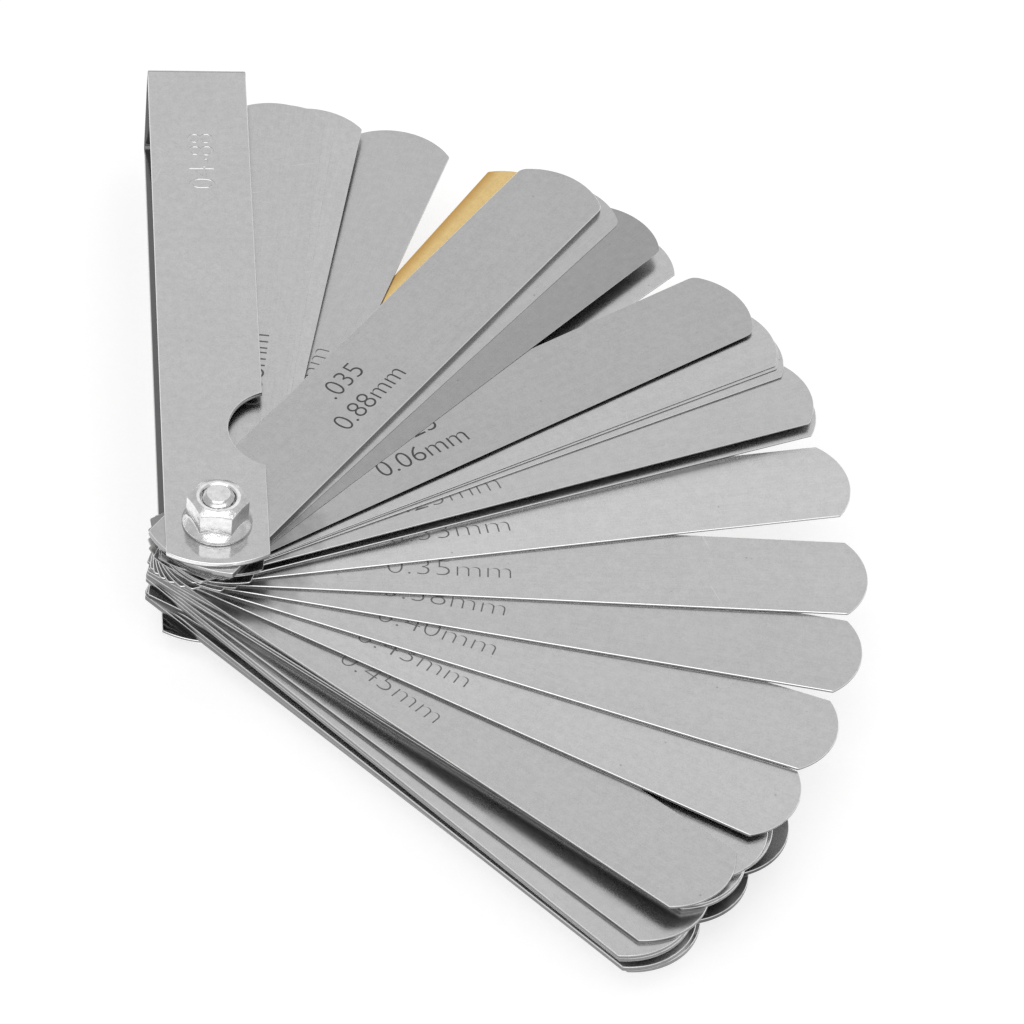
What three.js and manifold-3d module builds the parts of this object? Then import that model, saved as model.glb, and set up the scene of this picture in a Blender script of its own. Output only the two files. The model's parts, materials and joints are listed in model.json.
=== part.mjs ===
// Feeler gauge: a steel strip folded into a long U, a bolt through its open end with a
// flange nut, and 32 thickness blades that fan out on the bolt between the two leaves.
// Millimetres, +Z up. The origin is on the bolt's axis, at the flat face of its head,
// +Y runs along the case to its closed end, and the blades open clockwise seen from +Z.
import * as THREE from 'three';
import { mergeVertices } from 'three/addons/utils/BufferGeometryUtils.js';
import Module from 'manifold-3d';

const wasm = await Module();
wasm.setup();

// ---------- driving dimensions ----------
const SHEET = 0.75;              // case strip thickness
const FILM = 0.02;               // clearance between neighbours in the stack
const CASE_WIDTH = 12.9;
const CASE_LENGTH = 85.9;        // bolt axis to the outside of the closed end
const CASE_HEEL = 7.4;           // bolt axis to the end of the leaves
const CASE_HEEL_RADIUS = 11.6;
const BEND_INNER = 0.75;         // inside radius of the two folds

const NOTCH_START = 10.3;        // thumb notch in the +X edge of the front leaf
const NOTCH_END = 23.5;
const NOTCH_DEPTH = 4.5;

const BLADE_WIDTH = 12.7;        // half an inch
const BLADE_REACH = 81.5;        // bolt axis to the blade's tip
const BLADE_TIP_RADIUS = 8.8;
const BLADE_HEEL = 7.4;
const BLADE_HEEL_RADIUS = 12.4;
const BLADE_HOLE_RADIUS = 2.1;
const TIP_CORNER_RADIUS = 0.4;
const SOFT_CORNER_RADIUS = 1.8;  // on the blades nearest the nut
const SOFT_CORNER_BLADES = 4;
const HEEL_CORNER_RADIUS = 0.3;

const BOLT_RADIUS = 2.0;         // M4
const BOLT_TIP_CHAMFER = 0.5;
const BOLT_TIP_ABOVE_LEAF = 4.95;
const HEAD_HEIGHT = 2.8;
const HEX_FLATS = 6.8;           // across flats, head and nut alike
const HEAD_FACE_RADIUS = 3.2;    // the flat face inside the head's rounded rim
const HEAD_RIM_CUT = 0.35;
const HEAD_TURN = 12;            // degrees
const LEAF_HOLE_RADIUS = 2.1;

const FLANGE_RADIUS = 4.4;
const FLANGE_RIM = 0.45;
const FLANGE_TOP = 1.5;          // where the cone of the flange meets the hexagon
const NUT_HEIGHT = 4.45;
const NUT_TOP_RADIUS = 2.75;     // the flat ring inside the corner chamfer
const NUT_BORE_RADIUS = 2.05;
const NUT_COUNTERSINK = 0.3;
const NUT_CHAMFER_FALL = 0.6;    // how far the chamfer falls for each millimetre outwards
const NUT_TURN = 24.6;           // degrees, nearly a flat towards -Y

// blades from the nut's side down: [thickness in mm, degrees open at rest]
const BLADES = [
  [0.88, 36.5], [0.04, 38.6], [0.05, 43.8], [0.06, 57.5], [0.08, 7.6], [0.10, 8.6],
  [0.13, 11.2], [0.15, 61.9], [0.18, 62.2], [0.20, 63.2], [0.23, 69.6], [0.25, 20.0],
  [0.25, 33.2, 'brass'], [0.28, 46.0], [0.30, 70.4], [0.33, 80.9], [0.35, 93.3],
  [0.38, 103.1], [0.40, 113.2], [0.43, 122.4], [0.45, 133.7], [0.48, 128.6], [0.50, 127.7],
  [0.53, 132.1], [0.55, 132.0], [0.58, 137.2], [0.60, 139.5], [0.63, 139.3], [0.65, 124.2],
  [0.70, 131.2], [0.75, 138.8], [0.80, 138.2],
];

const STACK = BLADES.reduce((sum, [thickness]) => sum + thickness + FILM, FILM);
const CASE_BOTTOM = HEAD_HEIGHT;
const CASE_TOP = CASE_BOTTOM + 2 * SHEET + STACK;

// ---------- how finely curves are cut ----------
const CORNER_STEPS = 3;          // the small round at each end of an end arc
const END_STEPS = 10;            // the end arc itself
const BEND_STEPS = 5;            // each fold of the case
const HOLE_STEPS = 16;           // the blade's bolt hole
const BORE_SEGMENTS = 24;        // bolt, bore and countersink, all round
const HEX_SEGMENTS = 36;         // the cones that chamfer the hexagons
const FLANGE_SEGMENTS = 40;      // flange and thumb notch

// ---------- materials ----------
function metal(color, roughness) {
  return new THREE.MeshStandardMaterial({ color, roughness, metalness: 1.0 });
}
const CASE_STEEL = metal(0xb9babb, 0.34);
const BLADE_STEEL = metal(0xb6b7b8, 0.3);
const BLADE_BRASS = metal(0xd8b56c, 0.3);
const BOLT_ZINC = metal(0xcfd0d0, 0.28);
const NUT_ZINC = metal(0xdedfe0, 0.22);

// ---------- outlines ----------
function arcPoints(x, y, radius, from, to, steps) {
  return Array.from({ length: steps + 1 }, (_, i) => {
    const angle = from + ((to - from) * i) / steps;
    return new THREE.Vector2(x + radius * Math.cos(angle), y + radius * Math.sin(angle));
  });
}

// a circular end of a strip along +Y: a wide arc of this radius whose top is at reach, with a
// small round of cornerRadius where it meets each side, from the +X side to the -X side
function endArc(width, reach, radius, cornerRadius) {
  const cornerX = width / 2 - cornerRadius;
  const rise = Math.sqrt((radius - cornerRadius) ** 2 - cornerX ** 2);
  const centre = reach - radius;
  const turn = Math.atan2(rise, cornerX);
  return [
    ...arcPoints(cornerX, centre + rise, cornerRadius, 0, turn, CORNER_STEPS),
    ...arcPoints(0, centre, radius, turn, Math.PI - turn, END_STEPS).slice(1, -1),
    ...arcPoints(-cornerX, centre + rise, cornerRadius, Math.PI - turn, Math.PI, CORNER_STEPS),
  ];
}

// a strip along Y with a round tip at +Y and a round heel at -Y
function stripShape(width, reach, tipRadius, heel, heelRadius, tipCorner = TIP_CORNER_RADIUS) {
  const tip = endArc(width, reach, tipRadius, tipCorner);
  const end = endArc(width, heel, heelRadius, HEEL_CORNER_RADIUS);
  return new THREE.Shape([...tip, ...end.map((point) => point.multiplyScalar(-1))]);
}

function extruded(shape, depth) {
  return new THREE.ExtrudeGeometry(shape, { depth, bevelEnabled: false, curveSegments: BEND_STEPS });
}

function lathe(profile, segments) {
  const points = profile.map(([radius, z]) => new THREE.Vector2(radius, z));
  return new THREE.LatheGeometry(points, segments).rotateX(Math.PI / 2);
}

// ---------- solids ----------
function solid(geometry) {
  const bare = geometry.clone();
  bare.deleteAttribute('normal');
  bare.deleteAttribute('uv');
  const merged = mergeVertices(bare, 1e-5);
  return new wasm.Manifold(new wasm.Mesh({
    numProp: 3,
    vertProperties: new Float32Array(merged.attributes.position.array),
    triVerts: new Uint32Array(merged.index.array),
  }));
}

function geometryOf(manifold) {
  const mesh = manifold.getMesh();
  const geometry = new THREE.BufferGeometry();
  geometry.setAttribute('position', new THREE.BufferAttribute(mesh.vertProperties, 3));
  geometry.setIndex(new THREE.BufferAttribute(mesh.triVerts, 1));
  return geometry;
}

function cylinder(radius, bottom, top, segments) {
  return solid(lathe([[0, bottom], [radius, bottom], [radius, top], [0, top]], segments));
}

function named(name, geometry, material) {
  const mesh = new THREE.Mesh(geometry, material);
  mesh.name = name;
  return mesh;
}

// ---------- case strip ----------
// the U in the YZ plane, open towards -Y, as wide as the case
function foldedStrip() {
  const outer = BEND_INNER + SHEET;
  const innerEnd = CASE_LENGTH - SHEET;
  const height = CASE_TOP - CASE_BOTTOM;
  const quarter = Math.PI / 2;
  const u = new THREE.Shape();
  u.moveTo(-CASE_HEEL, 0);
  u.absarc(CASE_LENGTH - outer, outer, outer, -quarter, 0);
  u.absarc(CASE_LENGTH - outer, height - outer, outer, 0, quarter);
  u.lineTo(-CASE_HEEL, height);
  u.lineTo(-CASE_HEEL, height - SHEET);
  u.absarc(innerEnd - BEND_INNER, height - outer, BEND_INNER, quarter, 0, true);
  u.absarc(innerEnd - BEND_INNER, outer, BEND_INNER, 0, -quarter, true);
  u.lineTo(-CASE_HEEL, SHEET);
  const geometry = extruded(u, CASE_WIDTH);
  // the shape's x and y become Y and Z, and its depth runs along X
  geometry.applyMatrix4(new THREE.Matrix4().set(
    0, 0, 1, -CASE_WIDTH / 2,
    1, 0, 0, 0,
    0, 1, 0, CASE_BOTTOM,
    0, 0, 0, 1,
  ));
  return solid(geometry);
}

function thumbNotch() {
  const halfChord = (NOTCH_END - NOTCH_START) / 2;
  const radius = (halfChord ** 2 + NOTCH_DEPTH ** 2) / (2 * NOTCH_DEPTH);
  const centre = [CASE_WIDTH / 2 - NOTCH_DEPTH + radius, (NOTCH_START + NOTCH_END) / 2];
  const cutter = cylinder(radius, CASE_TOP - 1.5 * SHEET, CASE_TOP + SHEET, FLANGE_SEGMENTS);
  return cutter.translate([centre[0], centre[1], 0]);
}

function caseStrip() {
  // the outline seen from above runs on past the closed end, so it only shapes the open end
  const reach = CASE_LENGTH + CASE_WIDTH;
  const outline = stripShape(CASE_WIDTH, reach, CASE_WIDTH, CASE_HEEL, CASE_HEEL_RADIUS);
  const plan = extruded(outline, CASE_TOP - CASE_BOTTOM + 2).translate(0, 0, CASE_BOTTOM - 1);
  const strip = foldedStrip()
    .intersect(solid(plan))
    .subtract(cylinder(LEAF_HOLE_RADIUS, 0, CASE_TOP + 1, BORE_SEGMENTS))
    .subtract(thumbNotch());
  return named('case_strip', geometryOf(strip), CASE_STEEL);
}

// ---------- bolt and nut ----------
const HEX_CORNER = HEX_FLATS / Math.sqrt(3);

function hexPrism(bottom, top, turn) {
  const hex = new THREE.CylinderGeometry(HEX_CORNER, HEX_CORNER, top - bottom, 6);
  hex.rotateX(Math.PI / 2).rotateZ(THREE.MathUtils.degToRad(turn));
  return solid(hex.translate(0, 0, (bottom + top) / 2));
}

function pivotBolt() {
  const tip = CASE_TOP + BOLT_TIP_ABOVE_LEAF;
  const rounding = solid(lathe([
    [0, 0],
    [HEAD_FACE_RADIUS, 0],
    [HEX_CORNER, HEAD_RIM_CUT],
    [HEX_CORNER, HEAD_HEIGHT],
    [0, HEAD_HEIGHT],
  ], HEX_SEGMENTS));
  const shank = solid(lathe([
    [0, HEAD_HEIGHT / 2],
    [BOLT_RADIUS, HEAD_HEIGHT / 2],
    [BOLT_RADIUS, tip - BOLT_TIP_CHAMFER],
    [BOLT_RADIUS - BOLT_TIP_CHAMFER, tip],
    [0, tip],
  ], BORE_SEGMENTS));
  const bolt = hexPrism(0, HEAD_HEIGHT, HEAD_TURN).intersect(rounding).add(shank);
  return named('pivot_bolt', geometryOf(bolt), BOLT_ZINC);
}

function flangeNut() {
  const flange = solid(lathe([
    [0, 0],
    [FLANGE_RADIUS, 0],
    [FLANGE_RADIUS, FLANGE_RIM],
    [HEX_FLATS / 2, FLANGE_TOP],
    [0, FLANGE_TOP],
  ], FLANGE_SEGMENTS));
  // the chamfer runs down from the top ring past the corners
  const cornerDrop = (HEX_CORNER - NUT_TOP_RADIUS) * NUT_CHAMFER_FALL;
  const rounding = solid(lathe([
    [0, 0],
    [HEX_CORNER, 0],
    [HEX_CORNER, NUT_HEIGHT - cornerDrop],
    [NUT_TOP_RADIUS, NUT_HEIGHT],
    [0, NUT_HEIGHT],
  ], HEX_SEGMENTS));
  const countersink = solid(lathe([
    [0, NUT_HEIGHT - NUT_COUNTERSINK],
    [NUT_BORE_RADIUS, NUT_HEIGHT - NUT_COUNTERSINK],
    [NUT_BORE_RADIUS + 2 * NUT_COUNTERSINK, NUT_HEIGHT + NUT_COUNTERSINK],
    [0, NUT_HEIGHT + NUT_COUNTERSINK],
  ], BORE_SEGMENTS));
  const nut = hexPrism(0, NUT_HEIGHT, NUT_TURN)
    .intersect(rounding)
    .add(flange)
    .subtract(cylinder(NUT_BORE_RADIUS, -1, NUT_HEIGHT + 1, BORE_SEGMENTS))
    .subtract(countersink)
    .translate([0, 0, CASE_TOP]);
  return named('flange_nut', geometryOf(nut), NUT_ZINC);
}

// ---------- blades ----------
function bladeName(thickness, metalName) {
  const size = thickness.toFixed(2).replace('.', 'p');
  return `blade_${size}mm${metalName ? `_${metalName}` : ''}`;
}

function bladeShape(tipCorner) {
  const outline = stripShape(
    BLADE_WIDTH, BLADE_REACH, BLADE_TIP_RADIUS, BLADE_HEEL, BLADE_HEEL_RADIUS, tipCorner,
  );
  outline.holes.push(new THREE.Path(arcPoints(0, 0, BLADE_HOLE_RADIUS, 2 * Math.PI, 0, HOLE_STEPS)));
  return outline;
}

// each blade lies in the stack at its own height, turned on the bolt
function blades() {
  const group = new THREE.Group();
  const soft = bladeShape(SOFT_CORNER_RADIUS);
  const crisp = bladeShape(TIP_CORNER_RADIUS);
  let top = CASE_TOP - SHEET;
  for (const [order, [thickness, open, metalName]] of BLADES.entries()) {
    top -= FILM + thickness;
    const outline = order < SOFT_CORNER_BLADES ? soft : crisp;
    const material = metalName === 'brass' ? BLADE_BRASS : BLADE_STEEL;
    const blade = named(bladeName(thickness, metalName), extruded(outline, thickness), material);
    blade.position.z = top;
    blade.rotation.z = -THREE.MathUtils.degToRad(open);
    group.add(blade);
  }
  return group;
}

const gauge = new THREE.Group();
gauge.add(caseStrip(), pivotBolt(), flangeNut(), blades());
export default gauge;
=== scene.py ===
import json
from math import atan2, cos, pi, radians, sin, sqrt, tan
import bpy
import bmesh
from mathutils import Matrix, Vector


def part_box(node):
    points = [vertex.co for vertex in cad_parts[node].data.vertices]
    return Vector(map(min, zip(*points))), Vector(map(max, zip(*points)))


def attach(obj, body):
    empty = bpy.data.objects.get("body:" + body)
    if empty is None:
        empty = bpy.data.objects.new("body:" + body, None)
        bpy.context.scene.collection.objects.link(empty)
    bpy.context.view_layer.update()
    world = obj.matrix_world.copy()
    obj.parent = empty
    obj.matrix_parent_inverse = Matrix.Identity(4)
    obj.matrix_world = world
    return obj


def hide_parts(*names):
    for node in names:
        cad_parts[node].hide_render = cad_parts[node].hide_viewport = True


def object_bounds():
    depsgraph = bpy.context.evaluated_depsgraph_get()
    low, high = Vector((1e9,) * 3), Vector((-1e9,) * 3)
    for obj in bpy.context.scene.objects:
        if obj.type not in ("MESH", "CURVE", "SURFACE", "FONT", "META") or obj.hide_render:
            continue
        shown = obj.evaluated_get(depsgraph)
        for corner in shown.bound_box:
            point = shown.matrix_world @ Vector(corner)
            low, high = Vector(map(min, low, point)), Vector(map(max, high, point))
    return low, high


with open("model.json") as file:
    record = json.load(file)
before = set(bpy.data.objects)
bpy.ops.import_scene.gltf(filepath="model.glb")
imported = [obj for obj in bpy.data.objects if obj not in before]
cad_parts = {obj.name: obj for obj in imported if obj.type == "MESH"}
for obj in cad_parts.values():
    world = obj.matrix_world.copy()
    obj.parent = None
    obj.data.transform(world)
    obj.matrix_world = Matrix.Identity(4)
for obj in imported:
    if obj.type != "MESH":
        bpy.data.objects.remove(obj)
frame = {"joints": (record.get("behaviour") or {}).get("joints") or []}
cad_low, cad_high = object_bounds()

# Lengths are in millimetres and are brought to metres when a piece is made.
MM = 0.001


# ---------- camera ----------
CAMERA_PLACE = (-49.50, -695.97, 697.51)
CAMERA_FORWARD = (0.08823, 0.71339, -0.69519)
CAMERA_ROLL = -5.308                 # degrees
CAMERA_LENS = 276.15                 # on a sensor 36 mm wide


def make_camera():
    forward = Vector(CAMERA_FORWARD).normalized()
    roll = radians(CAMERA_ROLL)
    side = forward.cross(Vector((0, 0, 1))).normalized()
    up = side.cross(forward) * cos(roll) + side * sin(roll)
    across = forward.cross(up)
    data = bpy.data.cameras.new("camera")
    data.sensor_width = 36
    data.lens = CAMERA_LENS
    data.clip_start, data.clip_end = 0.05, 20
    camera = bpy.data.objects.new("camera", data)
    rotation = Matrix((across, up, -forward)).transposed().to_4x4()
    camera.matrix_world = Matrix.Translation(Vector(CAMERA_PLACE) * MM) @ rotation
    bpy.context.scene.collection.objects.link(camera)
    bpy.context.scene.camera = camera


make_camera()

# ---------- sizes ----------
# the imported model's own sizes, and those of the finer detail that is added to them here
SHEET = 0.75
CASE_WIDTH = 12.9
CASE_HEEL = 7.4
CASE_HEEL_RADIUS = 11.6
BEND_INNER = 0.75
NOTCH_START = 10.3
NOTCH_END = 23.5
NOTCH_DEPTH = 4.5
LEAF_HOLE_RADIUS = 2.1

BLADE_WIDTH = 12.7
BLADE_REACH = 81.5
BLADE_TIP_RADIUS = 8.8
BLADE_HEEL = 7.4
BLADE_HEEL_RADIUS = 12.4
BLADE_HOLE_RADIUS = 2.1
TIP_CORNER_RADIUS = 0.4
SOFT_CORNER_RADIUS = 1.8
SOFT_CORNER_BLADES = 4               # the blades nearest the nut have the soft corner
HEEL_CORNER_RADIUS = 0.3             # of the case and the blades
EDGE_ROUND = 0.14                    # the rounded edge of the sheet and of the thicker blades
THIN_EDGE_SHARE = 0.4                # and of a thin blade, as a share of its thickness
BEND_CUTS = 12
LEAF_CUTS = 6

HEX_HALF_FLATS = 3.4
HEX_ROUND = 0.18
HEAD_FACE_RADIUS = 3.2
HEAD_RIM_CUT = 0.35
HEAD_TURN = 12
NUT_TURN = 24.6
FLANGE_RADIUS = 4.4
FLANGE_RIM = 0.45
FLANGE_TOP = 1.5
NUT_TOP_RADIUS = 2.75
NUT_CHAMFER_FALL = 0.6
NUT_BORE_RADIUS = 2.05
NUT_COUNTERSINK = 0.3
BOLT_RADIUS = 2.0
BOLT_TIP_CHAMFER = 0.5
THREAD_PITCH = 0.7
THREAD_DEPTH = 0.36
THREAD_BELOW_LEAF = 1.0              # where the thread starts, under the front leaf's face
THREAD_RUN_IN = 0.8
THREAD_FLANK = 0.36                  # shares of the pitch
THREAD_CREST = 0.14
THREAD_STEP = 0.045

# a circle through both ends of the notch and its deepest point
notch_half = (NOTCH_END - NOTCH_START) / 2
notch_radius = (notch_half ** 2 + NOTCH_DEPTH ** 2) / (2 * NOTCH_DEPTH)
notch_centre = (CASE_WIDTH / 2 - NOTCH_DEPTH + notch_radius, (NOTCH_START + NOTCH_END) / 2)

case_low, case_high = (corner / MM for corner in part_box("case_strip"))
nut_low, nut_high = (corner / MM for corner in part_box("flange_nut"))
bolt_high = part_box("pivot_bolt")[1] / MM


# ---------- mesh helpers ----------
def piece_from(bm, name, body, material, place=Matrix.Identity(4), smooth=30):
    """The bmesh, in millimetres, becomes a piece that rides on body; place is in metres."""
    bmesh.ops.recalc_face_normals(bm, faces=bm.faces)
    bmesh.ops.scale(bm, vec=(MM, MM, MM), verts=bm.verts)
    mesh = bpy.data.meshes.new(name)
    bm.to_mesh(mesh)
    bm.free()
    mesh.shade_smooth()
    mesh.set_sharp_from_angle(angle=radians(smooth))
    mesh.materials.append(material)
    piece = bpy.data.objects.new(name, mesh)
    bpy.context.scene.collection.objects.link(piece)
    piece.matrix_world = place
    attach(piece, body)
    return piece


def arc_points(x, y, radius, start, end, steps):
    angles = [start + (end - start) * i / steps for i in range(steps + 1)]
    return [(x + radius * cos(a), y + radius * sin(a)) for a in angles]


def end_arc(width, reach, radius, corner, steps=36, corner_steps=6):
    """The round end of a strip along +Y, from its +X side to its -X side."""
    corner_x = width / 2 - corner
    rise = sqrt((radius - corner) ** 2 - corner_x ** 2)
    centre = reach - radius
    turn = atan2(rise, corner_x)
    return (arc_points(corner_x, centre + rise, corner, 0, turn, corner_steps)
            + arc_points(0, centre, radius, turn, pi - turn, steps)[1:-1]
            + arc_points(-corner_x, centre + rise, corner, pi - turn, pi, corner_steps))


def plate(loops, thickness, edge, segments=3):
    """A closed flat plate with rounded edges. Each loop is a function of the inset."""
    bm = bmesh.new()
    quarter = [pi / 2 * i / segments for i in range(segments + 1)]
    lower = [(edge * (1 - sin(a)), edge * (1 - cos(a))) for a in quarter]
    layers = lower + [(inset, thickness - z) for inset, z in reversed(lower)]
    bottom, top = [], []
    for loop in loops:
        rings = [[bm.verts.new((x, y, z)) for x, y in loop(inset)] for inset, z in layers]
        for low, high in zip(rings, rings[1:]):
            for i in range(len(low)):
                j = (i + 1) % len(low)
                bm.faces.new((low[i], low[j], high[j], high[i]))
        bottom.append(rings[0])
        top.append(rings[-1])
    for rings in (bottom, top):
        edges = [bm.edges.get((r[i], r[(i + 1) % len(r)])) for r in rings for i in range(len(r))]
        bmesh.ops.triangle_fill(bm, use_beauty=True, edges=edges)
    return bm


def circle(x, y, radius, steps=64):
    return lambda inset: arc_points(x, y, radius + inset, 0, 2 * pi, steps)[:-1]


def revolve(profile, angles, bored):
    """A closed body; profile(angle) lists (radius, z). Without a bore its ends are poles."""
    bm = bmesh.new()
    columns = [profile(a) for a in angles]
    count = len(columns[0])
    poles = {} if bored else {0: bm.verts.new((0, 0, columns[0][0][1])),
                              count - 1: bm.verts.new((0, 0, columns[0][-1][1]))}
    grid = [[poles.get(k) or bm.verts.new((r * cos(a), r * sin(a), z))
             for k, (r, z) in enumerate(column)] for a, column in zip(angles, columns)]
    for i in range(len(angles)):
        here, there = grid[i], grid[(i + 1) % len(angles)]
        for k in range(count if bored else count - 1):
            m = (k + 1) % count
            corners = [here[k], there[k], there[m], here[m]]
            bm.faces.new(sorted(set(corners), key=corners.index))
    return bm


def hex_radius(angle, turn):
    """Radius of a hexagon with rounded corners, turned by this many degrees."""
    normal = radians(turn - 60)
    off = (angle - normal + pi / 6) % (pi / 3) - pi / 6
    if tan(abs(off)) * HEX_HALF_FLATS <= (HEX_HALF_FLATS - HEX_ROUND) * tan(pi / 6):
        return HEX_HALF_FLATS / cos(off)
    reach = (HEX_HALF_FLATS - HEX_ROUND) / cos(pi / 6)
    away = pi / 6 - abs(off)
    return reach * cos(away) + sqrt(HEX_ROUND ** 2 - (reach * sin(away)) ** 2)


def hex_angles(turn):
    """Angles all round, close together near the corners of the hexagon."""
    half = [0, 5, 10, 15, 20, 24, 26.5, 27.6, 28.2, 28.7, 29.1, 29.4, 29.7, 30]
    sixth = [-a for a in reversed(half[1:])] + half[:-1]
    return [radians(turn - 60 + 60 * k + a) for k in range(6) for a in sixth]


def letters(text, em, stretch, thin, depth, bevel=0.0):
    """Text as a closed mesh from depth below zero to depth above, along +X, in millimetres."""
    curve = bpy.data.curves.new("letters", "FONT")
    curve.body = text
    curve.size = em
    curve.offset = -thin
    curve.extrude = depth
    curve.bevel_depth = bevel
    curve.resolution_u = 6
    holder = bpy.data.objects.new("letters", curve)
    bpy.context.scene.collection.objects.link(holder)
    shaped = holder.evaluated_get(bpy.context.evaluated_depsgraph_get())
    mesh = bpy.data.meshes.new_from_object(shaped)
    bm = bmesh.new()
    bm.from_mesh(mesh)
    bpy.data.objects.remove(holder)
    bpy.data.curves.remove(curve)
    bpy.data.meshes.remove(mesh)
    bmesh.ops.remove_doubles(bm, verts=bm.verts, dist=1e-5)
    left = min(v.co.x for v in bm.verts)
    for v in bm.verts:
        v.co.x = (v.co.x - left) * stretch
    return bm


# ---------- materials ----------
class Shader:
    """Shorthand for making a node material."""

    def __init__(self, name):
        self.material = bpy.data.materials.new(name)
        self.material.use_nodes = True
        self.tree = self.material.node_tree
        self.surface = self.tree.nodes["Principled BSDF"]

    def node(self, kind, settings=None, **inputs):
        made = self.tree.nodes.new("ShaderNode" + kind)
        for key, value in (settings or {}).items():
            setattr(made, key, value)
        for key, value in inputs.items():
            self.put(made.inputs[key.replace("_", " ")], value)
        return made

    def put(self, socket, value):
        if isinstance(value, bpy.types.NodeSocket):
            self.tree.links.new(value, socket)
        else:
            socket.default_value = value

    def place(self, scale=(1, 1, 1), shift=(0, 0, 0)):
        here = self.node("TexCoord").outputs["Object"]
        return self.node("Mapping", Vector=here, Scale=scale, Location=shift).outputs["Vector"]

    def noise(self, where, scale, detail=4.0, roughness=0.5):
        return self.node("TexNoise", Vector=where, Scale=scale, Detail=detail,
                         Roughness=roughness).outputs["Fac"]

    def ramp(self, value, low, high, to_low=0.0, to_high=1.0):
        made = self.node("MapRange", Value=value, From_Min=low, From_Max=high,
                         To_Min=to_low, To_Max=to_high)
        return made.outputs["Result"]

    def math(self, operation, first, second=0.0):
        made = self.node("Math", {"operation": operation})
        self.put(made.inputs[0], first)
        self.put(made.inputs[1], second)
        return made.outputs[0]

    def mix(self, factor, first, second, blend="MIX"):
        made = self.node("Mix", {"data_type": "RGBA", "blend_type": blend})
        self.put(made.inputs[0], factor)
        self.put(made.inputs[6], first)
        self.put(made.inputs[7], second)
        return made.outputs[2]

    def finish(self, colour, roughness, height, depth, metallic=1.0, strength=1.0):
        self.put(self.surface.inputs["Base Color"], colour)
        self.put(self.surface.inputs["Roughness"], roughness)
        self.put(self.surface.inputs["Metallic"], metallic)
        bump = self.node("Bump", Height=height, Distance=depth, Strength=strength)
        self.put(self.surface.inputs["Normal"], bump.outputs["Normal"])
        return self.material


def tint(colour, share):
    return tuple(c * share for c in colour) + (1.0,)


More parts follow.
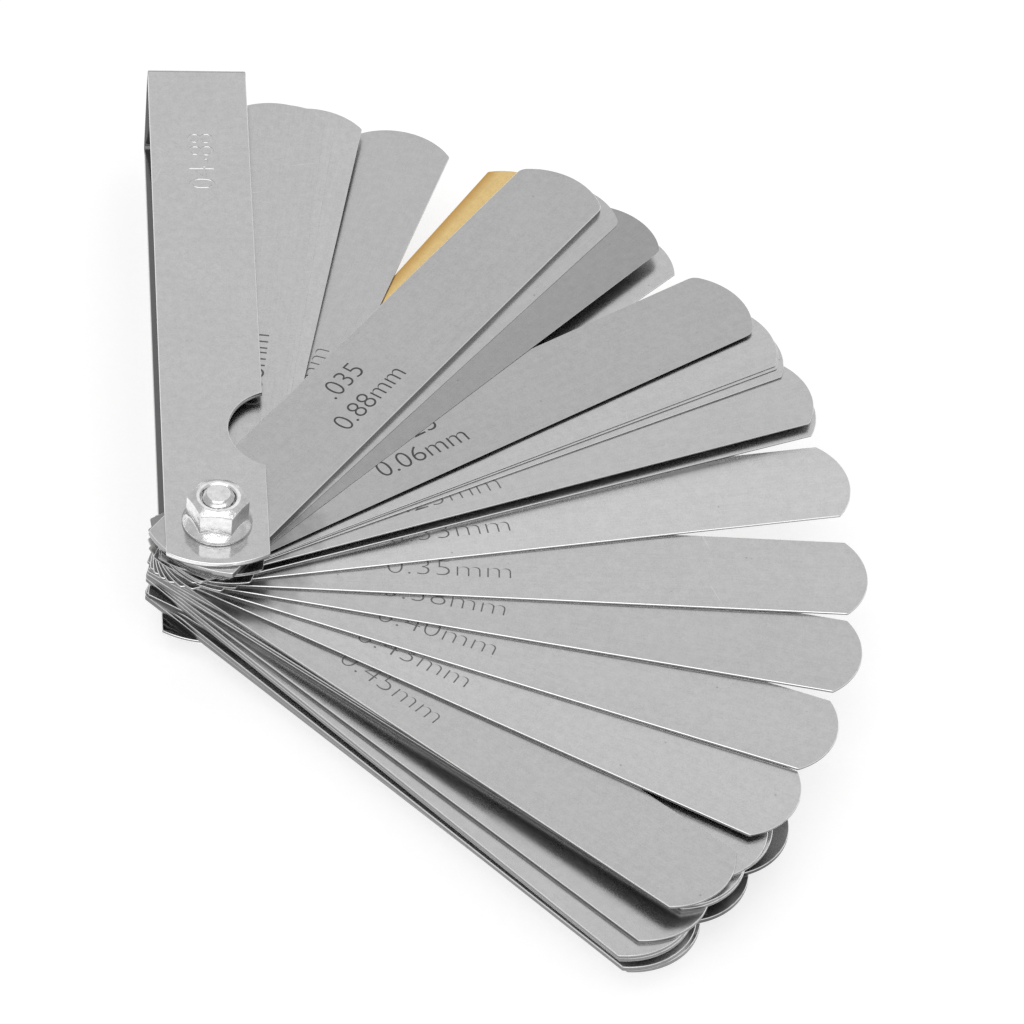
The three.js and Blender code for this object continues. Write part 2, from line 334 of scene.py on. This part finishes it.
def rolled_metal(name, colour, roughness, seed, grain=1.0, spots=1.0, painted_wall_light=0.45, darker_near_bolt=0.0, shaded_inside=None,
                 tarnish=None):
    """Ground sheet metal with fine grain, pits and scratches, a painted highlight on its rounded rims and
    painted shade on its cut edges.

    painted_wall_light multiplies the tone of the cut edges: painted shade below 1, painted light above 1.
    darker_near_bolt darkens the metal around the bolt; shaded_inside is (low, high, reach) of the case's
    inner faces, which are painted dark as shade; tarnish has the brass's two stains.
    """
    s = Shader(name)
    shift = (0.013 * seed, 0.037 * seed, 0.005 * seed)
    flat = s.place(shift=shift)
    clouds = s.noise(flat, 120, 3)
    mottle = s.noise(flat, 5200, 4, 0.7)
    streaks = s.noise(s.place((1, 0.03, 1), shift), 5200, 3, 0.65)
    cells = s.node("TexVoronoi", Vector=flat, Scale=330)
    chosen = s.node("SeparateColor", Color=cells.outputs["Color"])
    pits = s.math("MULTIPLY", s.ramp(cells.outputs["Distance"], 0.03, 0.06, 1, 0),
                  s.ramp(chosen.outputs["Red"], 0.72, 0.74))
    turned = s.node("Mapping", Vector=flat, Rotation=(0, 0, 0.5 + seed))
    scratch_at = s.node("Mapping", Vector=turned.outputs["Vector"], Scale=(1, 0.03, 1))
    scratch = s.ramp(s.noise(scratch_at.outputs["Vector"], 2400, 1), 0.74, 0.77)
    few = s.math("MULTIPLY", scratch, s.ramp(s.noise(flat, 90, 1), 0.54, 0.62))
    apart = s.node("SeparateXYZ", Vector=s.node("TexCoord").outputs["Object"])
    tone = s.mix(s.ramp(clouds, 0.35, 0.65), tint(colour, 0.97), tint(colour, 1.03))
    tone = s.mix(s.ramp(mottle, 0.35, 0.65, 0, 0.9), tone, tint(colour, 0.82))
    blotch = s.noise(flat, 900, 3, 0.6)
    tone = s.mix(s.ramp(blotch, 0.4, 0.7, 0, 0.35), tone, tint(colour, 1.14))
    tone = s.mix(s.ramp(streaks, 0.35, 0.7, 0, 0.3 * grain), tone, tint(colour, 1.12))
    tone = s.mix(s.math("MULTIPLY", pits, 0.6 * spots), tone, tint(colour, 0.45))
    tone = s.mix(s.math("MULTIPLY", few, 0.5), tone, tint(colour, 1.25))
    if tarnish:
        near = s.ramp(s.math("ABSOLUTE", apart.outputs["X"]), 4.9 * MM, 6.3 * MM)
        tone = s.mix(s.math("MULTIPLY", near, 0.8), tone, tarnish["edge"])
    upright = s.node("SeparateXYZ", Vector=s.node("TexCoord").outputs["Normal"]).outputs["Z"]
    steep = s.math("ABSOLUTE", upright)
    # the steep cut edges get painted shade on the blades and painted light on the case; the rounded rims
    # between them and the flat faces get a painted highlight
    wall = s.ramp(steep, 0.12, 0.4, 1, 0)
    rim = s.math("MULTIPLY", s.ramp(steep, 0.25, 0.5), s.ramp(steep, 0.93, 0.99, 1, 0))
    if shaded_inside:
        low, high, reach = shaded_inside
        # the folds and the end wall are rolled faces, not cut edges, and get neither the painted edge light
        # nor the painted rim highlight
        leaf = s.ramp(apart.outputs["Y"], reach - 2 * MM, reach - 1 * MM, 1, 0)
        wall = s.math("MULTIPLY", wall, leaf)
        rim = s.math("MULTIPLY", rim, leaf)
    # painted shade on the cut edges (painted light on the case)
    tone = s.mix(wall, tone, (painted_wall_light, painted_wall_light, painted_wall_light, 1), "MULTIPLY")
    # darker towards the bolt, with a ragged edge
    if darker_near_bolt:
        from_bolt = s.node("VectorMath", {"operation": "LENGTH"}, Vector=s.place((1, 1, 0))).outputs["Value"]
        fringe_noise = s.math("MULTIPLY", s.noise(flat, 300, 4, 0.6), 10 * MM)
        tone = s.mix(s.ramp(s.math("SUBTRACT", from_bolt, fringe_noise), 3 * MM, 9 * MM, darker_near_bolt, 0), tone,
                     tint(colour, 0.3))
    # painted shade on the case's inner faces between the leaves, nearly black
    if shaded_inside:
        between = s.math("MULTIPLY", s.ramp(apart.outputs["Z"], low, low + 0.1 * MM),
                         s.ramp(apart.outputs["Z"], high - 0.1 * MM, high, 1, 0))
        painted_inner_shade = s.math("MULTIPLY", between, s.ramp(apart.outputs["Y"], reach - 0.1 * MM, reach, 1, 0))
        tone = s.mix(s.math("MULTIPLY", painted_inner_shade, 0.85), tone, tint(colour, 0.12))
    # painted highlight, near white, on the rounded rims
    tone = s.mix(s.math("MULTIPLY", rim, 0.9), tone, tint(colour, 0.97 / max(colour)))
    if tarnish:
        ragged = s.math("ADD", apart.outputs["Y"], s.math("MULTIPLY", clouds, 4 * MM))
        tone = s.mix(s.ramp(ragged, 15 * MM, 24 * MM, 1, 0), tone, tarnish["heel"])
    gloss = s.math("ADD", s.ramp(clouds, 0.3, 0.7, roughness - 0.02, roughness + 0.02),
                   s.math("MULTIPLY", mottle, 0.08))
    height = s.math("ADD", s.math("MULTIPLY", streaks, 0.5 * grain), s.math("MULTIPLY", mottle, 0.9))
    height = s.math("SUBTRACT", height, s.math("MULTIPLY", s.math("ADD", pits, few), 1.5))
    return s.finish(tone, gloss, height, 0.0000013)


def zinc(name, colour, roughness):
    """Zinc plate: bright, a little uneven, with small dark specks."""
    s = Shader(name)
    flat = s.place()
    clouds = s.noise(flat, 900, 5, 0.6)
    grit = s.noise(flat, 4200, 4, 0.7)
    tone = s.mix(s.ramp(clouds, 0.35, 0.7), tint(colour, 1.05), tint(colour, 0.82))
    tone = s.mix(s.ramp(grit, 0.56, 0.72, 0, 0.6), tone, tint(colour, 0.45))
    gloss = s.ramp(clouds, 0.3, 0.7, roughness - 0.05, roughness + 0.08)
    return s.finish(tone, gloss, s.math("ADD", s.math("MULTIPLY", clouds, 6.0), grit), 0.000012)


def etched(name, grey):
    """The dull grey of an etched mark."""
    s = Shader(name)
    flat = s.place()
    patchy = s.noise(flat, 5000, 4)
    tone = s.mix(s.ramp(patchy, 0.3, 0.7), (grey * 0.8,) * 3 + (1,), (grey * 1.5,) * 3 + (1,))
    return s.finish(tone, s.ramp(patchy, 0.3, 0.7, 0.45, 0.65), patchy, 0.000002, metallic=0.5)


# the case's inner faces get painted shade and its cut edges painted light, 1.6 times lighter
CASE_SHADED_INSIDE = (case_low.z * MM + 0.6 * SHEET * MM, case_high.z * MM - 0.6 * SHEET * MM,
               case_high.y * MM - 0.6 * SHEET * MM)
CASE_STEEL = rolled_metal("case_steel", (0.565, 0.565, 0.565), 0.09, 3.0, grain=0.3, spots=0.5, painted_wall_light=1.6,
                          shaded_inside=CASE_SHADED_INSIDE)
NUT_ZINC = zinc("zinc_nut", (0.90, 0.90, 0.90), 0.12)
BOLT_ZINC = zinc("zinc_bolt", (0.80, 0.80, 0.80), 0.18)
INK_DARK = etched("etch_dark", 0.065)
INK_LIGHT = etched("etch_light", 0.14)


# ---------- case ----------
def case_piece():
    """The strip is made flat, then folded: s runs along it, through both folds."""
    height = case_high.z - case_low.z
    outer = BEND_INNER + SHEET
    fold = case_high.y - outer
    bend = pi / 2 * (BEND_INNER + SHEET / 2)
    wall = height - 2 * outer
    first, second = fold + bend, fold + bend + wall
    back = second + bend

    def outline(inset):
        heel = end_arc(CASE_WIDTH - 2 * inset, CASE_HEEL - inset, CASE_HEEL_RADIUS - inset,
                       HEEL_CORNER_RADIUS - inset / 2)
        x = CASE_WIDTH / 2 - inset
        radius = notch_radius + inset
        across = x - notch_centre[0]
        spread = atan2(sqrt(radius ** 2 - across ** 2), across)
        notch = arc_points(*notch_centre, radius, -spread, spread - 2 * pi, 40)
        near_end = [(-px, -py) for px, py in heel]
        far_end = [(px, back + fold + py) for px, py in heel]
        return near_end + notch + far_end

    holes = [circle(0, 0, LEAF_HOLE_RADIUS), circle(0, back + fold, LEAF_HOLE_RADIUS)]
    bm = plate([outline] + holes, SHEET, EDGE_ROUND, segments=4)
    cuts = [start + bend * i / BEND_CUTS for start in (fold, second) for i in range(BEND_CUTS + 1)]
    for s in cuts + [fold * k / LEAF_CUTS for k in range(1, LEAF_CUTS)]:
        everything = bm.verts[:] + bm.edges[:] + bm.faces[:]
        bmesh.ops.bisect_plane(bm, geom=everything, dist=1e-6, plane_co=(0, s, 0), plane_no=(0, 1, 0))
    top_centre, low_centre = case_high.z - outer, case_low.z + outer
    for v in bm.verts:
        s, n = v.co.y, v.co.z
        if s <= fold:
            v.co.y, v.co.z = s, case_high.z - SHEET + n
        elif s <= first:
            a = pi / 2 * (1 - (s - fold) / bend)
            v.co.y = fold + (BEND_INNER + n) * cos(a)
            v.co.z = top_centre + (BEND_INNER + n) * sin(a)
        elif s <= second:
            v.co.y, v.co.z = fold + BEND_INNER + n, top_centre - (s - first)
        elif s <= back:
            a = -pi / 2 * (s - second) / bend
            v.co.y = fold + (BEND_INNER + n) * cos(a)
            v.co.z = low_centre + (BEND_INNER + n) * sin(a)
        else:
            v.co.y, v.co.z = fold - (s - back), case_low.z + SHEET - n
    return bm


# the range of the set, in hundredths of a millimetre
STAMP = {"text": "04-88", "em": 4.9, "stretch": 0.98, "thin": 0.15, "depth": 0.4, "bevel": 0.1}
STAMP_ACROSS = 1.75
STAMP_ALONG = 67.1                   # the middle of the digits
STAMP_SUNK = 0.13


def stamp(bm):
    """Cuts the set's range, as digits, into the front leaf near the closed end."""
    cutter = letters(**STAMP)
    turn = Matrix.Rotation(pi / 2, 4, "Z")
    bmesh.ops.transform(cutter, matrix=turn, verts=cutter.verts)
    top = max(v.co.y for v in cutter.verts)
    middle_z = case_high.z - STAMP_SUNK + (STAMP["depth"] + STAMP["bevel"])
    bmesh.ops.translate(cutter, vec=(STAMP_ACROSS, STAMP_ALONG - top / 2, middle_z), verts=cutter.verts)
    bmesh.ops.recalc_face_normals(cutter, faces=cutter.faces)
    bmesh.ops.recalc_face_normals(bm, faces=bm.faces)
    holders = []
    for name, part in (("blank", bm), ("cutter", cutter)):
        mesh = bpy.data.meshes.new(name)
        part.to_mesh(mesh)
        part.free()
        holder = bpy.data.objects.new(name, mesh)
        bpy.context.scene.collection.objects.link(holder)
        holders.append(holder)
    cut = holders[0].modifiers.new("stamp", "BOOLEAN")
    cut.operation, cut.solver, cut.object = "DIFFERENCE", "EXACT", holders[1]
    shaped = holders[0].evaluated_get(bpy.context.evaluated_depsgraph_get())
    done = bmesh.new()
    done.from_mesh(shaped.to_mesh())
    for holder in holders:
        mesh = holder.data
        bpy.data.objects.remove(holder)
        bpy.data.meshes.remove(mesh)
    return done


case = piece_from(stamp(case_piece()), "folded_case", "case", CASE_STEEL)
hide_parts("case_strip")


# ---------- nut and bolt ----------
# the small numbers in both profiles round the edges
def nut_profile(angle):
    """Flange, hexagon and chamfer of the nut at this angle."""
    r = hex_radius(angle, NUT_TURN)
    top = nut_high.z - nut_low.z
    slope = (FLANGE_TOP - FLANGE_RIM) / (FLANGE_RADIUS - HEX_HALF_FLATS)
    root = FLANGE_RIM + (FLANGE_RADIUS - r) * slope
    shoulder = top - (r - NUT_TOP_RADIUS) * NUT_CHAMFER_FALL
    rim = FLANGE_RADIUS
    points = [
        (NUT_BORE_RADIUS, 0), (rim - 0.15, 0), (rim - 0.05, 0.05), (rim, 0.15),
        (rim, FLANGE_RIM - 0.14), (rim - 0.03, FLANGE_RIM - 0.05), (rim - 0.1, FLANGE_RIM + 0.05),
        (r + 0.14, root - 0.14 * slope), (r + 0.05, root - 0.02), (r, root + 0.10),
        (r, shoulder - 0.06), (r - 0.02, shoulder - 0.01), (r - 0.06, shoulder + 0.06),
        (NUT_TOP_RADIUS + 0.05, top - 0.04), (NUT_TOP_RADIUS - 0.03, top),
        (NUT_BORE_RADIUS + NUT_COUNTERSINK + 0.02, top),
        (NUT_BORE_RADIUS + NUT_COUNTERSINK - 0.03, top - 0.03),
        (NUT_BORE_RADIUS, top - NUT_COUNTERSINK),
    ]
    return [(radius, nut_low.z + z) for radius, z in points]


def bolt_profile(angle):
    """Head, shank and helical thread of the bolt at this angle."""
    r = hex_radius(angle, HEAD_TURN)
    corner = HEX_HALF_FLATS / cos(pi / 6)
    head = case_low.z
    rise = (r - HEAD_FACE_RADIUS) / (corner - HEAD_FACE_RADIUS) * HEAD_RIM_CUT
    points = [
        (0, 0), (HEAD_FACE_RADIUS - 1.2, 0), (HEAD_FACE_RADIUS - 0.04, 0), (HEAD_FACE_RADIUS + 0.03, 0.02),
        (r - 0.04, rise), (r, rise + 0.05), (r, head - 0.1), (r - 0.03, head - 0.03), (r - 0.1, head),
        (BOLT_RADIUS + 0.05, head), (BOLT_RADIUS - 0.02, head + 0.08),
    ]
    tip = bolt_high.z
    start = case_high.z - THREAD_BELOW_LEAF
    z = start
    while z < tip - 0.02:
        phase = (z / THREAD_PITCH - angle / (2 * pi)) % 1
        groove = min(1, max(0, (0.5 - abs(phase - 0.5)) / THREAD_FLANK - THREAD_CREST))
        fade = min(1, (z - start) / THREAD_RUN_IN)
        cone = BOLT_RADIUS - BOLT_TIP_CHAMFER + (tip - z)
        points.append((min(BOLT_RADIUS - THREAD_DEPTH * groove * fade, cone), z))
        z += THREAD_STEP
    inner = BOLT_RADIUS - BOLT_TIP_CHAMFER
    return points + [(inner - 0.03, tip), (inner * 0.5, tip), (0, tip)]


nut = piece_from(revolve(nut_profile, hex_angles(NUT_TURN), True),
                 "nut_with_flange", "case", NUT_ZINC, smooth=28)
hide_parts("flange_nut")
bolt = piece_from(revolve(bolt_profile, hex_angles(HEAD_TURN), False),
                  "bolt_with_thread", "case", BOLT_ZINC, smooth=28)
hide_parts("pivot_bolt")

# ---------- blades ----------
# inch mark of each blade, by its thickness in hundredths of a millimetre
INCHES = {
    4: ".0015", 5: ".002", 6: ".0025", 8: ".003", 10: ".004", 13: ".005", 15: ".006", 18: ".007",
    20: ".008", 23: ".009", 25: ".010", 28: ".011", 30: ".012", 33: ".013", 35: ".014", 38: ".015",
    40: ".016", 43: ".017", 45: ".018", 48: ".019", 50: ".020", 53: ".021", 55: ".022", 58: ".023",
    60: ".024", 63: ".025", 65: ".026", 70: ".028", 75: ".030", 80: ".032", 88: ".035",
}
# how light each blade's surface is painted, where it isn't the usual 1: painted shade below 1 and painted
# light above 1, for the light and shade each blade catches as it lies in the fan
BLADE_PAINTED_LIGHT = {88: 0.86, 4: 0.91, 5: 0.66, 6: 0.84, 8: 0.97, 23: 0.97, 25: 0.92, 33: 1.13, 38: 0.96, 43: 1.05,
         45: 0.95, 65: 0.4, 70: 0.5}
STEEL = (0.575, 0.575, 0.575)
BRASS = (0.80, 0.585, 0.26)
BRASS_TARNISH = {"edge": (0.50, 0.25, 0.05, 1), "heel": (0.42, 0.415, 0.41, 1)}
BLADE_ROUGHNESS = 0.24

# the marks of the first blade, of the blades under 0.13 mm and of the rest
TOP_PRINT = {"em": 4.05, "stretch": 1.04, "thin": 0.06,
             "lower": 3.5, "upper": -0.95, "start": 24.1, "indent": 3.8}
FINE_PRINT = {"em": 4.05, "stretch": 1.04, "thin": 0.055,
              "lower": 3.1, "upper": -0.8, "start": 23.4, "indent": 2.4}
WIDE_PRINT = {"em": 4.05, "stretch": 1.22, "thin": 0.105,
              "lower": 2.95, "upper": -1.6, "start": 22.2, "indent": 3.4}
WIDE_FROM = 13                       # hundredths of a millimetre
MARK_HEIGHT = 0.005                  # less than the clearance between two blades
WANDER = 0.6                         # how far the marks of the deeper blades stray along them
DARK_MARKS = 4                       # the blades nearest the nut have the darker marks
# how far the marks of some blades are off their usual place, along and across the blade
NUDGES = {23: (0.0, 1.0), 33: (-0.6, -0.1), 35: (-0.3, 0.0), 38: (-1.2, 0.0), 40: (0.6, 0.1),
          43: (0.0, 0.45), 45: (0.2, 0.0)}


def blade_outline(tip_corner):
    """The outline of a blade, as a function of the inset."""
    def outline(inset):
        tip = end_arc(BLADE_WIDTH - 2 * inset, BLADE_REACH - inset, BLADE_TIP_RADIUS - inset,
                      tip_corner - inset)
        heel = end_arc(BLADE_WIDTH - 2 * inset, BLADE_HEEL - inset, BLADE_HEEL_RADIUS - inset,
                       HEEL_CORNER_RADIUS - inset / 2)
        return tip + [(-x, -y) for x, y in heel]
    return outline


def blade_marks(hundredths, thickness, style, along, across):
    """Inch and millimetre marks, a few microns proud, baselines towards the +X side."""
    bm = bmesh.new()
    start = style["start"] + along
    lines = (("%.2fmm" % (hundredths / 100), style["lower"] + across, start),
             (INCHES[hundredths], style["upper"] + across, start + style["indent"]))
    for text, baseline, start in lines:
        line = letters(text, style["em"], style["stretch"], style["thin"], MARK_HEIGHT)
        turn = Matrix.Translation((baseline, start, thickness)) @ Matrix.Rotation(pi / 2, 4, "Z")
        bmesh.ops.transform(line, matrix=turn, verts=line.verts)
        held = bpy.data.meshes.new("line")
        line.to_mesh(held)
        line.free()
        bm.from_mesh(held)
        bpy.data.meshes.remove(held)
    return bm


def blade_metal(order, hundredths, brass):
    if brass:
        return rolled_metal("brass_blade", BRASS, BLADE_ROUGHNESS, 1.7, tarnish=BRASS_TARNISH)
    # this blade's painted light and shade
    colour = tuple(c * BLADE_PAINTED_LIGHT.get(hundredths, 1.0) for c in STEEL)
    # painted shade on the cut edges, and darker metal near the bolt; less shade and no darkening on the
    # blade nearest the nut
    painted_wall_light, darker_near_bolt = (0.45, 0.6) if order else (0.8, 0.0)
    return rolled_metal("blade_steel_%03d" % hundredths, colour, BLADE_ROUGHNESS, 1.3 * order + 5,
                        painted_wall_light=painted_wall_light, darker_near_bolt=darker_near_bolt)


def mark_style(order, hundredths):
    if order == 0:
        return TOP_PRINT
    return WIDE_PRINT if hundredths >= WIDE_FROM else FINE_PRINT


def make_blade(order, joint):
    """One blade and its marks; order counts from the nut."""
    node = joint["child"]
    low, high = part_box(node)
    thickness = (high.z - low.z) / MM
    hundredths = round(thickness * 100)
    brass = node.endswith("brass")
    place = Matrix.Translation((0, 0, low.z)) @ Matrix.Rotation(radians(joint["range_deg"][0]), 4, "Z")
    material = blade_metal(order, hundredths, brass)
    corner = SOFT_CORNER_RADIUS if order < SOFT_CORNER_BLADES else TIP_CORNER_RADIUS
    loops = [blade_outline(corner), circle(0, 0, BLADE_HOLE_RADIUS)]
    bm = plate(loops, thickness, min(EDGE_ROUND, THIN_EDGE_SHARE * thickness))
    piece = piece_from(bm, "fine_" + node, node, material, place)
    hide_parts(node)
    along, across = NUDGES.get(hundredths, (0.0, 0.0))
    if order >= DARK_MARKS:
        along += WANDER * sin(2.3 * order)
    marks = blade_marks(hundredths, thickness, mark_style(order, hundredths), along, across)
    ink = INK_DARK if order < DARK_MARKS else INK_LIGHT
    piece_from(marks, "marks_" + node, node, ink, place)


for order, joint in enumerate(frame["joints"]):
    make_blade(order, joint)


# ---------- floor and light, in metres ----------
FLOOR_HALF = 4
FLOOR_DROP = 0.00002                 # below the head of the bolt, which rests on it
LIGHT_TARGET = (0.03, 0.02, 0)
DAYLIGHT = 0.56


def floor():
    bm = bmesh.new()
    bmesh.ops.create_grid(bm, x_segments=8, y_segments=8, size=FLOOR_HALF)
    mesh = bpy.data.meshes.new("floor")
    bm.to_mesh(mesh)
    bm.free()
    s = Shader("floor_white")
    grain = s.noise(s.place(), 900, 3)
    tone = s.mix(grain, (0.42, 0.42, 0.42, 1), (0.46, 0.46, 0.46, 1))
    s.put(s.surface.inputs["Emission Color"], (1, 1, 1, 1))
    s.put(s.surface.inputs["Emission Strength"], 0.66)
    mesh.materials.append(s.finish(tone, 0.8, grain, 0.00001, metallic=0.0))
    piece = bpy.data.objects.new("floor", mesh)
    piece.location.z = cad_low.z - FLOOR_DROP
    bpy.context.scene.collection.objects.link(piece)


def softbox(name, where, size, brightness):
    """A square area light that faces the object; brightness is its radiance."""
    data = bpy.data.lights.new(name, "AREA")
    data.shape = "SQUARE"
    data.size = size
    data.energy = brightness * pi * size * size
    light = bpy.data.objects.new(name, data)
    light.location = where
    light.rotation_euler = (Vector(LIGHT_TARGET) - Vector(where)).to_track_quat("-Z", "Y").to_euler()
    light.visible_camera = False
    bpy.context.scene.collection.objects.link(light)


floor()
world = bpy.data.worlds.new("studio")
world.use_nodes = True
world.node_tree.nodes["Background"].inputs["Color"].default_value = (1, 1, 1, 1)
world.node_tree.nodes["Background"].inputs["Strength"].default_value = DAYLIGHT
bpy.context.scene.world = world
softbox("far_softbox", (0.17, 1.1, 1.08), 1.5, 0.37)
softbox("front_softbox", (-0.08, -0.72, 1.32), 1.8, 1.0)
bpy.context.scene.view_settings.view_transform = "Standard"
